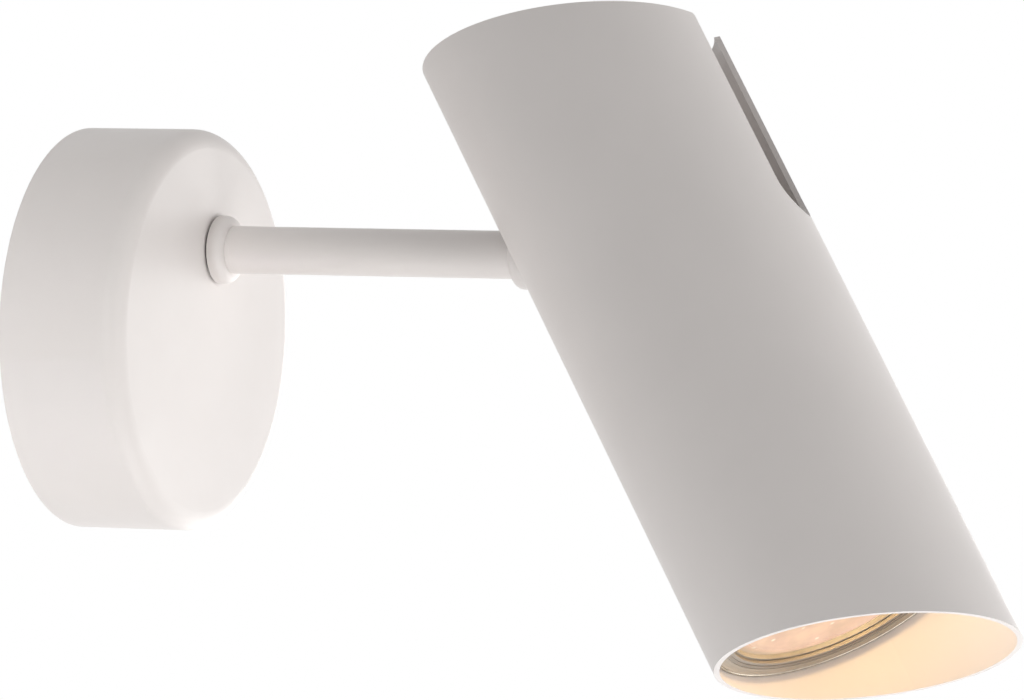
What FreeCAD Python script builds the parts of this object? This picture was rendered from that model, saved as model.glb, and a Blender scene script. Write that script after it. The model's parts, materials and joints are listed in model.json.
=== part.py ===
import FreeCAD, Part
import math
import os

# Pivoting spotlight wall light, in millimetres.
#
# The wall is the plane y = 0 and the lamp stands out towards -Y, with +Z up. The origin is the centre of
# the canopy's back. A slim arm leaves the canopy above its middle, turns in a flanged bush, and ends in a
# turned knuckle. The lamp tube tilts about a cross screw in the knuckle's eye. The tube is open at the top
# and has a slot front and back, so that it can swing from pointing down, past level, to pointing up while
# the arm passes through the wall of the tube.
#
# The head's pieces are modelled hanging straight down, with the tilt axis along X through the origin, and
# are then tilted and carried out to the end of the arm.

# ---- Driving dimensions ----------------------------------------------------------------------------------

canopy_d = 86.0
canopy_depth = 28.0
canopy_wall = 1.2
canopy_edge_r = 4.0          # rounded front edge, outside

plate_t = 1.5                # pressed wall plate
plate_clearance = 0.4        # plate's edge to the canopy's wall
plate_tab_w = 12.0
plate_tab_len = 12.0         # how far the three tabs stand off the wall
tab_angles = (90.0, 210.0, 330.0)
canopy_screw_d = 4.0
canopy_screw_len = 7.0
canopy_screw_from_wall = 8.0
canopy_screw_sunk = 0.3      # below the canopy's side
wall_hole_spacing = 60.0
wall_slot_w = 5.0
wall_slot_len = 9.0
cable_hole_d = 14.0
grommet_flange_d = 18.0
grommet_bore_d = 9.0
grommet_flange_t = 1.5

arm_height = 18.0            # arm's axis above the middle of the canopy
arm_reach = 133.0            # wall to tilt axis
arm_d = 10.2
arm_bore_d = 7.8
arm_tail = 9.0               # arm inside the canopy, from the inner face of its front
collar_d = 14.6
collar_len = 3.2
shoulder_r = 2.0             # rounded shoulders of the collar and the knuckle
bush_flange_d = 13.4
bush_flange_t = 0.5
bush_sleeve_d = 12.4
swivel_clearance = 0.04      # radial, arm in its bush
thrust_washer_d = 18.0
thrust_washer_t = 1.0
swivel_spring_d = 16.6
swivel_spring_h = 1.4
spring_sheet_t = 0.6
spring_gap = 0.05            # edge of a turning spring washer to what it bears on
stop_washer_t = 1.0
stop_washer_d = 16.6
stop_tab_reach = 13.0
stop_tab_w = 4.0
stop_stud_radius = 11.5      # from the arm's axis
stop_stud_d = 3.0
stop_stud_len = 4.0
arm_nut_af = 16.0
arm_nut_t = 4.0
end_sleeve_wall = 1.7
end_sleeve_flange_t = 1.0
end_sleeve_depth = 5.0

knuckle_d = 14.6
knuckle_back = 35.0          # tilt axis to the knuckle's rounded shoulder
knuckle_socket = 12.0        # depth of the arm in the knuckle
knuckle_wire_bore_d = 7.0
eye_w = 11.0                 # across the eye's flats
eye_flat_len = 10.5          # flats behind the tilt axis
wire_window_w = 6.0
wire_window_len = 7.0
grub_d = 3.0
grub_from_shoulder = 6.0

tilt_deg = 33.0              # head's tilt from straight down, as built
tube_d = 60.0
tube_wall = 1.1
tube_below = 100.0           # tilt axis to the middle of the mouth
tube_above = 53.0            # tilt axis to the middle of the top
tube_end_angle = 20.0        # both ends, from square
slot_w = 15.0
slot_corner_r = 0.8

friction_washer_d = 13.0
friction_washer_t = 0.5
pivot_d = 5.0
pivot_clearance = 0.05       # radial, pivot screw in the eye
bracket_t = 1.5
bracket_w = 17.0
bracket_drop = 18.5          # tilt axis to the underside of the bracket's web
bracket_bend_r = 2.0
pivot_head_d = 9.0
pivot_head_t = 2.7
pivot_nut_af = 8.0
pivot_nut_t = 4.7
pivot_spring_h = 1.1
pivot_end = 0.6              # screw beyond its nut
bracket_screw_d = 2.5
bracket_screw_from_axis = 5.9

carrier_t = 1.5
carrier_clearance = 0.2      # plate's edge to the tube's wall
lug_t = 1.5
lug_w = 10.0
lug_leg = 10.0
lug_shelf = 9.5
lug_screw_inset = 6.0        # from the tube's inner wall
lead_grommet_flange_d = 6.8
lead_grommet_neck_d = 5.0
lead_grommet_flange_t = 1.0

holder_w = 31.0
holder_depth = 17.0
holder_corner_r = 3.0
holder_body_h = 14.0
holder_cover_h = 7.0
holder_screw_from_axis = 11.0
holder_cavity_d = 6.6
holder_cavity_depth = 9.0
contact_t = 0.4
contact_w = 2.4
contact_len = 6.5

lamp_room = 2.0              # radial, lamp in the front ring's skirt
lamp_len = 43.4              # face to the back of the base, without the pins
lamp_rim_len = 5.7
lamp_rim_wall = 1.0
lamp_lens_t = 2.0
lens_bevel_w = 3.0
lens_bevel_h = 1.0
lens_bevel_r = 6.0           # where the bevel meets the flat face
lamp_neck_d = 27.0
lamp_bowl_len = 26.7
lamp_base_d = 23.0
lamp_base_len = 12.7
lamp_pin_pitch = 10.0
lamp_pin_d = 3.0
lamp_pin_head_d = 5.0
lamp_pin_head_t = 2.0
lamp_pin_len = 7.3
lamp_gap = 0.3               # lamp's base to the holder's face

ring_lip_inset = 0.6         # ring's lip over the lamp's edge
ring_lip_t = 0.7
ring_step_w = 0.8
ring_step_h = 0.2
ring_steps = 2
ring_skirt_t = 1.8
ring_skirt_len = 9.0
ring_clearance = 0.1         # radial, in the tube's bore
ring_lamp_gap = 0.2
snap_wire_d = 0.8
snap_seat_depth = 0.7        # rebate round the ring's front edge, for the wire
snap_clearance = 0.02
snap_gap_deg = 30.0
snap_gap_at_deg = -60.0

terminal_pitch = 10.0
terminal_poles = 3
terminal_len = 16.0
terminal_base_t = 4.0
terminal_barrel_d = 8.8
terminal_axis_off_plate = 6.0
terminal_below_centre = 20.0
terminal_tower_d = 5.2
terminal_tower_h = 6.0
terminal_screw_pitch = 8.0
terminal_ear = 6.0
sleeve_d = 5.7
sleeve_bore_d = 3.4
sleeve_clearance = 0.05
clamp_screw_d = 2.5
clamp_screw_len = 4.0

earth_at = (22.0, 14.0)      # x, z
earth_screw_d = 4.0
earth_head_d = 8.0
earth_head_t = 2.6
earth_washer_d = 9.0
earth_washer_t = 0.8

lead_d = 1.8
lead_spread = 1.1            # a lead's axis from the middle of its bundle
lead_gap = 0.3
small_screw_d = 3.0
small_head_d = 5.5
small_head_t = 2.0
drive_share = 0.5            # a screw's drive recess, as a share of its head
screw_clearance = 0.2        # radial, screws through clearance holes

# ---- Places worked out from them -------------------------------------------------------------------------

X = FreeCAD.Vector(1, 0, 0)
Y = FreeCAD.Vector(0, 1, 0)
Z = FreeCAD.Vector(0, 0, 1)

canopy_r = canopy_d / 2
canopy_inner_r = canopy_r - canopy_wall
canopy_face_y = -canopy_depth
canopy_inside_y = canopy_face_y + canopy_wall
plate_r = canopy_inner_r - plate_clearance
plate_front_y = -plate_t

arm_r = arm_d / 2
bush_front_y = canopy_face_y - bush_flange_t
thrust_y = canopy_inside_y + thrust_washer_t
swivel_spring_y = thrust_y + spring_gap + swivel_spring_h
stop_washer_y = swivel_spring_y + stop_washer_t
arm_nut_y = stop_washer_y + arm_nut_t
arm_tail_y = canopy_inside_y + arm_tail
arm_leads_tail_y = arm_tail_y + end_sleeve_flange_t + lead_gap
knuckle_shoulder_y = -(arm_reach - knuckle_back)
knuckle_socket_y = knuckle_shoulder_y - knuckle_socket
eye_flats_y = -(arm_reach - eye_flat_len)
wire_window_y = eye_flats_y + wire_window_len

tube_r = tube_d / 2
tube_bore_r = tube_r - tube_wall
cheek_in = eye_w / 2 + friction_washer_t
cheek_out = cheek_in + bracket_t
web_z = -bracket_drop
web_top_z = web_z + bracket_t
carrier_z = web_z - carrier_t
holder_face_z = carrier_z - holder_cover_h - holder_body_h
lamp_base_z = holder_face_z - lamp_gap
lamp_face_z = lamp_base_z - lamp_len
ring_back_z = lamp_face_z - ring_lamp_gap
ring_front_z = ring_back_z - ring_lip_t - ring_steps * ring_step_h
ring_r = tube_bore_r - ring_clearance
lamp_r = ring_r - ring_skirt_t - lamp_room
ring_lip_r = lamp_r - ring_lip_inset
snap_wire_r = snap_wire_d / 2
snap_middle_r = tube_bore_r - snap_clearance - snap_wire_r
snap_seat_r = snap_middle_r - snap_wire_r - snap_clearance
snap_seat_z = ring_front_z + snap_seat_depth
snap_z = snap_seat_z - snap_clearance - snap_wire_r
lug_screw_x = tube_bore_r - lug_screw_inset

terminal_axis_y = plate_front_y - terminal_axis_off_plate
terminal_top_z = -terminal_below_centre + terminal_len / 2
terminal_x = [(i - (terminal_poles - 1) / 2) * terminal_pitch for i in range(terminal_poles)]


# ---- Small helpers ---------------------------------------------------------------------------------------

def vec(x, y, z):
    return FreeCAD.Vector(x, y, z)


def rod(r, start, end):
    """Round bar of radius r from one point to another."""
    return Part.makeCylinder(r, (end - start).Length, start, end - start)


def pipe(r_out, r_in, start, end):
    return rod(r_out, start, end).cut(rod(r_in, start, end))


def block(x0, x1, y0, y1, z0, z1):
    return Part.makeBox(x1 - x0, y1 - y0, z1 - z0, vec(x0, y0, z0))


def hexagon(across_flats, start, end):
    """Hexagonal bar between two points on its axis."""
    spin = FreeCAD.Rotation(Z, end - start)
    corner_r = across_flats / math.sqrt(3)
    ring = [vec(corner_r * math.cos(math.radians(60 * i)), corner_r * math.sin(math.radians(60 * i)), 0)
            for i in range(6)]
    wire = Part.makePolygon([start + spin.multVec(p) for p in ring + ring[:1]])
    return Part.Face(wire).extrude(end - start)


def outline(corners, place):
    """Face within a closed line through corners (u, v, radius); place maps u, v into space."""
    runs = []
    count = len(corners)
    for i, (u, v, r) in enumerate(corners):
        here = vec(u, v, 0)
        back = (vec(*corners[i - 1][:2], 0) - here).normalize()
        on = (vec(*corners[(i + 1) % count][:2], 0) - here).normalize()
        if not r:
            runs.append((here, None, here))
            continue
        half = back.getAngle(on) / 2
        tangent = r / math.tan(half)
        apex = (back + on).normalize() * (r / math.sin(half) - r)
        runs.append((here + back * tangent, here + apex, here + on * tangent))
    edges = []
    for i, (start, bulge, end) in enumerate(runs):
        if bulge is not None:
            edges.append(Part.Arc(place(start), place(bulge), place(end)).toShape())
        following = runs[(i + 1) % count][0]
        if (following - end).Length > 1e-6:
            edges.append(Part.makeLine(place(end), place(following)))
    return Part.Face(Part.Wire(edges))


def turned_on_arm(corners):
    """Solid turned about the arm's axis from corners (y, radius, corner radius)."""
    face = outline(corners, lambda p: vec(0, p.x, arm_height + p.y))
    return face.revolve(vec(0, 0, arm_height), Y, 360)


def turned_on_tube(corners):
    """Solid turned about the tube's axis from corners (radius, z, corner radius)."""
    return outline(corners, lambda p: vec(p.x, 0, p.y)).revolve(vec(0, 0, 0), Z, 360)


def on_arm(y, x=0.0, z=0.0):
    """Point at y on the arm's axis, or beside it."""
    return vec(x, y, arm_height + z)


def in_head(shape):
    """Tilts a piece of the head and carries it to the end of the arm."""
    placed = shape.copy()
    placed.rotate(vec(0, 0, 0), X, -tilt_deg)
    placed.translate(on_arm(-arm_reach))
    return placed


def cone_washer(r_in, r_out, height, sheet, start, along):
    """Conical spring washer: its outer edge is at start, its inner edge stands height along."""
    corners = [(r_out, 0, 0), (r_in, height - sheet, 0), (r_in, height, 0), (r_out, sheet, 0)]
    spin = FreeCAD.Rotation(Z, along)
    face = outline(corners, lambda p: start + spin.multVec(vec(p.x, 0, p.y)))
    return face.revolve(start, along, 360)


def pan_screw(d, length, head_d, head_t, seat, into):
    """Screw with a domed head on seat and its shank along into; the drive is a cross."""
    spin = FreeCAD.Rotation(Z, into)
    head = outline([(0, 0, 0), (head_d / 2, 0, 0), (head_d / 2, -head_t, head_t * 0.6), (0, -head_t, 0)],
                   lambda p: seat + spin.multVec(vec(p.x, 0, p.y))).revolve(seat, into, 360)
    screw = head.fuse(rod(d / 2, seat, seat + into * length))
    arm_len = head_d * drive_share / 2
    arm_w = head_d * drive_share / 8
    recess = block(-arm_len, arm_len, -arm_w, arm_w, -head_t, -head_t / 2)
    recess = recess.fuse(block(-arm_w, arm_w, -arm_len, arm_len, -head_t, -head_t / 2))
    recess.Placement = FreeCAD.Placement(seat, spin)
    return screw.cut(recess).removeSplitter()


def socket_grub(d, length, outer_end, into):
    """Headless screw with a hexagon socket in its outer end."""
    screw = rod(d / 2, outer_end, outer_end + into * length)
    return screw.cut(hexagon(d * drive_share, outer_end, outer_end + into * (length * 0.4)))


def lead(points):
    """Insulated lead through points: straight runs joined by tangent arcs."""
    edges = []
    start = points[0]
    for i in range(1, len(points) - 1):
        before = points[i - 1] - points[i]
        after = points[i + 1] - points[i]
        tangent = 0.45 * min(before.Length, after.Length)
        half = before.getAngle(after) / 2
        radius = tangent * math.tan(half)
        a = before.normalize()
        b = after.normalize()
        middle = points[i] + (a + b).normalize() * (radius / math.sin(half) - radius)
        arc_start = points[i] + a * tangent
        arc_end = points[i] + b * tangent
        edges.append(Part.makeLine(start, arc_start))
        edges.append(Part.Arc(arc_start, middle, arc_end).toShape())
        start = arc_end
    edges.append(Part.makeLine(start, points[-1]))
    profile = Part.Wire(Part.makeCircle(lead_d / 2, points[0], points[1] - points[0]))
    return Part.Wire(edges).makePipeShell([profile], True, False)


def bundle(count):
    """Cross-section places of leads that lie together in a round hole."""
    turns = [2 * math.pi * i / count for i in range(count)]
    return [(lead_spread * math.sin(a), -lead_spread * math.cos(a)) for a in turns]


def keep(name, *solids):
    shape = solids[0] if len(solids) == 1 else Part.makeCompound(list(solids))
    shape.exportStep("parts/" + name + ".step")


# ---- Canopy and wall plate -------------------------------------------------------------------------------

def canopy():
    inner_edge_r = canopy_edge_r - canopy_wall
    corners = [
        (0, canopy_r, 0), (canopy_face_y, canopy_r, canopy_edge_r), (canopy_face_y, 0, 0),
        (canopy_inside_y, 0, 0), (canopy_inside_y, canopy_inner_r, inner_edge_r), (0, canopy_inner_r, 0),
    ]
    cup = outline(corners, lambda p: vec(0, p.x, p.y)).revolve(vec(0, 0, 0), Y, 360)
    arm_hole = rod(bush_sleeve_d / 2, on_arm(canopy_face_y - 1), on_arm(canopy_inside_y + 1))
    screw_at = vec(0, -canopy_screw_from_wall, canopy_inner_r - 1)
    screw_hole = rod(canopy_screw_d / 2 + screw_clearance, screw_at, screw_at + Z * (canopy_wall + 2))
    return cup.cut(arm_hole).cut(screw_hole)


def stop_stud():
    root = on_arm(canopy_inside_y, z=stop_stud_radius)
    return rod(stop_stud_d / 2, root, root + Y * stop_stud_len)


def tab_flat_r():
    """Distance of a tab's flat outer face from the canopy's axis."""
    return math.sqrt(plate_r ** 2 - (plate_tab_w / 2) ** 2)


def plate_tab(angle):
    top = tab_flat_r()
    tab = block(-plate_tab_w / 2, plate_tab_w / 2, -plate_tab_len, plate_front_y, top - plate_t, top)
    corner = plate_tab_w / 4
    edges = [e for e in tab.Edges
             if abs(e.CenterOfMass.y + plate_tab_len) < 1e-6 and abs(e.CenterOfMass.x) > corner]
    tab = tab.makeFillet(corner, edges)
    return tab.rotate(vec(0, 0, 0), Y, 90 - angle)


def wall_plate():
    plate = rod(plate_r, vec(0, plate_front_y, 0), vec(0, 0, 0))
    for angle in tab_angles:
        plate = plate.fuse(plate_tab(angle))
    plate = plate.removeSplitter()
    cuts = [rod(cable_hole_d / 2, vec(0, plate_front_y, 0), vec(0, 0, 0))]
    half = (wall_slot_len - wall_slot_w) / 2
    for side in (-1, 1):
        middle = side * wall_hole_spacing / 2
        cuts.append(block(middle - half, middle + half, plate_front_y, 0, -wall_slot_w / 2, wall_slot_w / 2))
        for end in (-half, half):
            cuts.append(rod(wall_slot_w / 2, vec(middle + end, plate_front_y, 0), vec(middle + end, 0, 0)))
        ear_x = side * terminal_ear_x()
        ear = vec(ear_x, plate_front_y, -terminal_below_centre)
        cuts.append(rod(small_screw_d / 2, ear, ear + Y * plate_t))
    earth = vec(earth_at[0], plate_front_y, earth_at[1])
    cuts.append(rod(earth_screw_d / 2, earth, earth + Y * plate_t))
    screw_from = vec(0, -canopy_screw_from_wall, tab_flat_r() - plate_t)
    cuts.append(rod(canopy_screw_d / 2, screw_from, screw_from + Z * plate_t))
    for tool in cuts:
        plate = plate.cut(tool)
    return plate


def canopy_screw():
    outer_end = vec(0, -canopy_screw_from_wall, canopy_r - canopy_screw_sunk)
    return socket_grub(canopy_screw_d, canopy_screw_len, outer_end, Z * -1)


def cable_grommet():
    sleeve = rod(cable_hole_d / 2, vec(0, plate_front_y, 0), vec(0, 0, 0))
    flange = rod(grommet_flange_d / 2, vec(0, plate_front_y - grommet_flange_t, 0), vec(0, plate_front_y, 0))
    bore = rod(grommet_bore_d / 2, vec(0, plate_front_y - grommet_flange_t, 0), vec(0, 0, 0))
    return sleeve.fuse(flange).removeSplitter().cut(bore)


# ---- Terminal block and earth ----------------------------------------------------------------------------

def terminal_ear_x():
    return terminal_x[-1] + terminal_pitch / 2 + terminal_ear / 2


def clamp_screw_places():
    return [(x, -terminal_below_centre + side * terminal_screw_pitch / 2)
            for x in terminal_x for side in (-1, 1)]


def terminal_block():
    z0 = -terminal_below_centre - terminal_len / 2
    half_w = terminal_x[-1] + terminal_pitch / 2
    body = block(-half_w, half_w, plate_front_y - terminal_base_t, plate_front_y, z0, terminal_top_z)
    for side in (-1, 1):
        ear = vec(side * terminal_ear_x(), plate_front_y, -terminal_below_centre)
        lug = rod(terminal_ear / 2, ear - Y * terminal_base_t, ear)
        inner = sorted((side * half_w, ear.x))
        lug = lug.fuse(block(inner[0], inner[1], plate_front_y - terminal_base_t, plate_front_y,
                             ear.z - terminal_ear / 2, ear.z + terminal_ear / 2))
        body = body.fuse(lug)
    barrels = [(vec(x, terminal_axis_y, z0), vec(x, terminal_axis_y, terminal_top_z)) for x in terminal_x]
    for start, end in barrels:
        body = body.fuse(rod(terminal_barrel_d / 2, start, end))
    for x, z in clamp_screw_places():
        foot = vec(x, terminal_axis_y, z)
        body = body.fuse(rod(terminal_tower_d / 2, foot, foot - Y * terminal_tower_h))
    body = body.removeSplitter()
    for start, end in barrels:
        body = body.cut(rod(sleeve_d / 2 + sleeve_clearance, start, end))
    for x, z in clamp_screw_places():
        foot = vec(x, terminal_axis_y, z)
        body = body.cut(rod(clamp_screw_d / 2 + screw_clearance, foot, foot - Y * (terminal_tower_h + 1)))
    for side in (-1, 1):
        ear = vec(side * terminal_ear_x(), plate_front_y, -terminal_below_centre)
        body = body.cut(rod(small_screw_d / 2 + screw_clearance, ear - Y * terminal_base_t, ear))
    return body


def terminal_sleeves():
    z0 = -terminal_below_centre - terminal_len / 2 + 1
    sleeves = []
    for x in terminal_x:
        sleeve = pipe(sleeve_d / 2, sleeve_bore_d / 2, vec(x, terminal_axis_y, z0),
                      vec(x, terminal_axis_y, terminal_top_z - 1))
        for place_x, z in clamp_screw_places():
            if place_x == x:
                foot = vec(x, terminal_axis_y, z)
                sleeve = sleeve.cut(rod(clamp_screw_d / 2, foot, foot - Y * sleeve_d))
        sleeves.append(sleeve)
    return sleeves


def lead_clamp_y():
    """Front of a lead that lies at the back of its sleeve's bore."""
    return terminal_axis_y + sleeve_bore_d / 2 - lead_d


def terminal_screws():
    tip_y = lead_clamp_y()
    return [socket_grub(clamp_screw_d, clamp_screw_len, vec(x, tip_y - clamp_screw_len, z), Y)
            for x, z in clamp_screw_places()]


def terminal_fixing_screws():
    seat_y = plate_front_y - terminal_base_t
    return [pan_screw(small_screw_d, terminal_base_t + plate_t, small_head_d, small_head_t,
                      vec(side * terminal_ear_x(), seat_y, -terminal_below_centre), Y) for side in (-1, 1)]


def terminal_leads():
    """One lead from each pole, up to the open end of the arm."""
    leads = []
    y = lead_clamp_y() + lead_d / 2
    places = bundle(terminal_poles)
    for x, (dx, dz) in zip(terminal_x, places[-1:] + places[:-1]):
        leads.append(lead([
            vec(x, y, terminal_top_z - terminal_len / 2),
            vec(x, y, terminal_top_z + 12),
            on_arm(plate_front_y - 4, dx, dz),
            on_arm(arm_leads_tail_y + lead_gap, dx, dz),
        ]))
    return leads


def earth_screw():
    seat = vec(earth_at[0], plate_front_y - earth_washer_t, earth_at[1])
    return pan_screw(earth_screw_d, earth_washer_t + plate_t, earth_head_d, earth_head_t, seat, Y)


def earth_washer():
    at = vec(earth_at[0], plate_front_y - earth_washer_t, earth_at[1])
    return pipe(earth_washer_d / 2, earth_screw_d / 2, at, at + Y * earth_washer_t)


# ---- Arm and its swivel ----------------------------------------------------------------------------------

def arm_bush():
    flange = rod(bush_flange_d / 2, on_arm(bush_front_y), on_arm(canopy_face_y))
    sleeve = rod(bush_sleeve_d / 2, on_arm(canopy_face_y), on_arm(canopy_inside_y))
    bore = rod(arm_r + swivel_clearance, on_arm(bush_front_y), on_arm(canopy_inside_y))
    return flange.fuse(sleeve).removeSplitter().cut(bore)


def thrust_washer():
    return pipe(thrust_washer_d / 2, arm_r + swivel_clearance, on_arm(canopy_inside_y), on_arm(thrust_y))


def swivel_spring():
    return cone_washer(arm_r, swivel_spring_d / 2, swivel_spring_h, spring_sheet_t,
                       on_arm(thrust_y + spring_gap), Y)


def stop_washer():
    """Keyed washer whose tab meets the stud in the canopy near each end of the swivel."""
    disc = rod(stop_washer_d / 2, on_arm(swivel_spring_y), on_arm(stop_washer_y))
    tab = block(-stop_tab_w / 2, stop_tab_w / 2, swivel_spring_y, stop_washer_y,
                arm_height - stop_tab_reach, arm_height)
    disc = disc.fuse(tab).removeSplitter()
    return disc.cut(rod(arm_r, on_arm(swivel_spring_y), on_arm(stop_washer_y)))


def arm_nut():
    nut = hexagon(arm_nut_af, on_arm(stop_washer_y), on_arm(arm_nut_y))
    return nut.cut(rod(arm_r, on_arm(stop_washer_y), on_arm(arm_nut_y)))


def arm_end_sleeve():
    """Plastic sleeve that keeps the leads off the arm's cut end."""
    outer_y = arm_tail_y + end_sleeve_flange_t
    inner_y = arm_tail_y - end_sleeve_depth
    sleeve = rod(arm_bore_d / 2, on_arm(inner_y), on_arm(arm_tail_y))
    flange = rod(arm_r, on_arm(arm_tail_y), on_arm(outer_y))
    bore = rod(arm_bore_d / 2 - end_sleeve_wall, on_arm(inner_y), on_arm(outer_y))
    return sleeve.fuse(flange).removeSplitter().cut(bore)


def arm_tube():
    return pipe(arm_r, arm_bore_d / 2, on_arm(knuckle_socket_y), on_arm(arm_tail_y))


def arm_collar():
    front = bush_front_y - collar_len
    collar = turned_on_arm([(bush_front_y, 0, 0), (bush_front_y, collar_d / 2, 0),
                            (front, collar_d / 2, shoulder_r), (front, 0, 0)])
    return collar.cut(rod(arm_r, on_arm(front), on_arm(bush_front_y)))


def knuckle():
    """Turned sleeve with a flattened, rounded eye at its far end."""
    r = knuckle_d / 2
    end_y = -(arm_reach + r)
    sleeve = turned_on_arm([(knuckle_shoulder_y, 0, 0), (knuckle_shoulder_y, r, shoulder_r),
                            (end_y, r, 0), (end_y, 0, 0)])
    eye = on_arm(-arm_reach)
    keep_zone = block(-r, r, -arm_reach, knuckle_shoulder_y, arm_height - r, arm_height + r)
    keep_zone = keep_zone.fuse(rod(r, eye - X * r, eye + X * r))
    body = sleeve.common(keep_zone)
    for side in (-1, 1):
        flat = sorted((side * eye_w / 2, side * (r + 1)))
        body = body.cut(block(flat[0], flat[1], end_y - 1, eye_flats_y, arm_height - r - 1, arm_height + r + 1))
    body = body.cut(rod(arm_r, on_arm(knuckle_socket_y), on_arm(knuckle_shoulder_y)))
    body = body.cut(rod(knuckle_wire_bore_d / 2, on_arm(eye_flats_y), on_arm(knuckle_socket_y)))
    half_w = wire_window_w / 2
    window = block(-half_w, half_w, eye_flats_y, wire_window_y, arm_height - r - 1, arm_height)
    body = body.cut(window)
    body = body.cut(rod(pivot_d / 2 + pivot_clearance, eye - X * r, eye + X * r))
    grub = on_arm(knuckle_shoulder_y - grub_from_shoulder)
    return body.cut(rod(grub_d / 2, grub + Z * arm_r, grub + Z * (r + 1))).removeSplitter()


def knuckle_grub_screw():
    at = on_arm(knuckle_shoulder_y - grub_from_shoulder)
    depth = knuckle_d / 2 - arm_r
    return socket_grub(grub_d, depth - screw_clearance, at + Z * (knuckle_d / 2 - screw_clearance), Z * -1)


def arm_leads():
    end_y = wire_window_y - wire_window_len / 2
    return [rod(lead_d / 2, on_arm(end_y, dx, dz), on_arm(arm_leads_tail_y, dx, dz))
            for dx, dz in bundle(terminal_poles)]


# ---- Head: tube and tilt joint ---------------------------------------------------------------------------

def beyond_end(middle_z, side):
    """Everything past one oblique end of the tube: above it for side 1, below it for side -1."""
    reach = 4 * tube_d
    z0, z1 = sorted((0, side * reach))
    zone = block(-reach, reach, -reach, reach, z0, z1)
    zone.rotate(vec(0, 0, 0), X, tube_end_angle)
    zone.translate(Z * middle_z)
    return zone


def head_tube():
    spare = tube_d
    tube = pipe(tube_r, tube_bore_r, Z * -(tube_below + spare), Z * (tube_above + spare))
    slot = block(-slot_w / 2, slot_w / 2, -tube_d, tube_d, 0, tube_above + 2 * spare)
    slot = slot.fuse(rod(slot_w / 2, Y * -tube_d, Y * tube_d))
    tube = tube.cut(slot).cut(beyond_end(-tube_below, -1)).cut(beyond_end(tube_above, 1))
    rise = math.tan(math.radians(tube_end_angle))
    corners = []
    for edge in tube.Edges:
        middle = edge.CenterOfMass
        on_side = abs(abs(middle.x) - slot_w / 2) < 1e-3
        on_end = abs(middle.z - tube_above - middle.y * rise) < 1e-3
        if on_side and on_end:
            corners.append(edge)
    return tube.makeFillet(slot_corner_r, corners)


def pivot_bracket():
    """U-shaped bracket: two rounded cheeks each side of the knuckle's eye, on a flat web."""
    half_w = bracket_w / 2
    top = half_w
    sheet = outline([
        (-cheek_out, top, 0), (-cheek_out, web_z, bracket_bend_r), (cheek_out, web_z, bracket_bend_r),
        (cheek_out, top, 0), (cheek_in, top, 0), (cheek_in, web_top_z, bracket_bend_r - bracket_t),
        (-cheek_in, web_top_z, bracket_bend_r - bracket_t), (-cheek_in, top, 0),
    ], lambda p: vec(p.x, -half_w, p.y)).extrude(Y * bracket_w)
    keep_zone = block(-cheek_out, cheek_out, -half_w, half_w, web_z, 0)
    keep_zone = keep_zone.fuse(rod(half_w, X * -cheek_out, X * cheek_out))
    bracket = sheet.common(keep_zone)
    bracket = bracket.cut(rod(pivot_d / 2, X * -cheek_out, X * cheek_out))
    bracket = bracket.cut(rod(lead_grommet_neck_d / 2, Z * web_z, Z * web_top_z))
    for side in (-1, 1):
        at = Y * (side * bracket_screw_from_axis)
        bracket = bracket.cut(rod(bracket_screw_d / 2, at + Z * web_z, at + Z * web_top_z))
    return bracket.removeSplitter()


def friction_washers():
    return [pipe(friction_washer_d / 2, pivot_d / 2, X * (side * eye_w / 2), X * (side * cheek_in))
            for side in (-1, 1)]


def pivot_screw():
    head_seat = X * -cheek_out
    length = 2 * cheek_out + pivot_spring_h + pivot_nut_t + pivot_end
    corners = [(0, 0, 0), (pivot_head_d / 2, 0, 0), (pivot_head_d / 2, -pivot_head_t, pivot_head_t * 0.7),
               (0, -pivot_head_t, 0)]
    head = outline(corners, lambda p: head_seat + vec(p.y, 0, p.x)).revolve(head_seat, X, 360)
    screw = head.fuse(rod(pivot_d / 2, head_seat, head_seat + X * length))
    top = head_seat - X * pivot_head_t
    return screw.cut(hexagon(pivot_d * drive_share, top, top + X * (pivot_head_t * 0.6))).removeSplitter()


def pivot_spring_washer():
    return cone_washer(pivot_d / 2, pivot_head_d / 2, pivot_spring_h, spring_sheet_t, X * cheek_out, X)


def pivot_nut():
    start = X * (cheek_out + pivot_spring_h)
    nut = hexagon(pivot_nut_af, start, start + X * pivot_nut_t)
    return nut.cut(rod(pivot_d / 2, start, start + X * pivot_nut_t))


def bracket_screws():
    depth = bracket_t + carrier_t
    return [pan_screw(bracket_screw_d, depth, 1.7 * bracket_screw_d, 0.6 * bracket_screw_d,
                      vec(0, side * bracket_screw_from_axis, web_top_z), Z * -1) for side in (-1, 1)]


# ---- Head: carrier, lampholder ---------------------------------------------------------------------------

def carrier_plate():
    plate = rod(tube_bore_r - carrier_clearance, Z * carrier_z, Z * web_z)
    plate = plate.cut(rod(lead_grommet_neck_d / 2, Z * carrier_z, Z * web_z))
    for side in (-1, 1):
        tapped = Y * (side * bracket_screw_from_axis)
        plate = plate.cut(rod(bracket_screw_d / 2, tapped + Z * carrier_z, tapped + Z * web_z))
        for x in (holder_screw_from_axis, lug_screw_x):
            at = X * (side * x)
            plate = plate.cut(rod(small_screw_d / 2 + screw_clearance, at + Z * carrier_z, at + Z * web_z))
    return plate


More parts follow.
